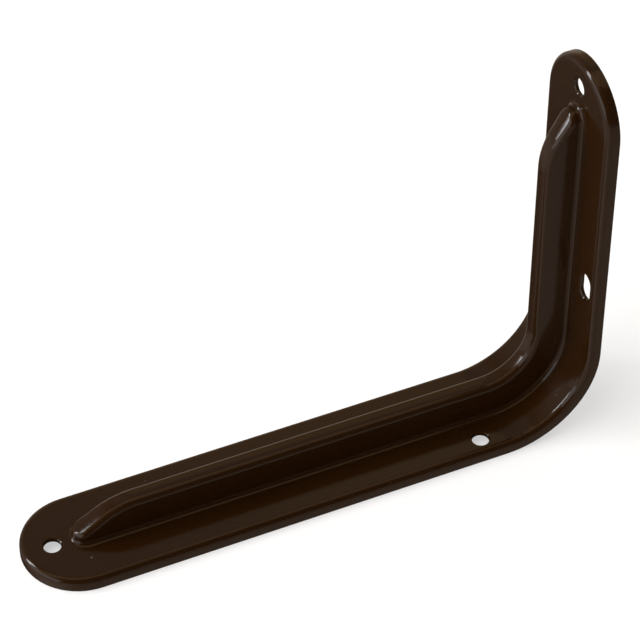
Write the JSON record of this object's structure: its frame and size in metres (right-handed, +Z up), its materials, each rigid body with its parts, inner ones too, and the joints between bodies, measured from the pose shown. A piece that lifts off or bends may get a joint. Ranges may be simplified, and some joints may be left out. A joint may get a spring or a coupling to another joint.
{
  "type": "shelf bracket",
  "caption": "Pressed steel L bracket for a shelf, with rounded leg ends, a turned-down rim, a hollow stiffening rib round the bend, round screw holes and a slot.",
  "frame": {"origin": "on the mounting plane of the shelf leg, midway along it and midway across the strip, which is the middle of the underside of the part's box", "axes": "+X along the shelf leg from its round end to the wall, so the wall leg's mounting face points to +X; +Y across the strip, away from the screw hole and the slot beside the rib; +Z up along the wall leg, square to the shelf's mounting face"},
  "size_m": [0.175, 0.035, 0.1246],
  "materials": {
    "paint": "smooth glossy very dark brown baked paint on pressed steel, with slight orange peel and a few specks"
  },
  "bodies": {
    "root": {"bracket": "paint"}
  },
  "joints": []
}
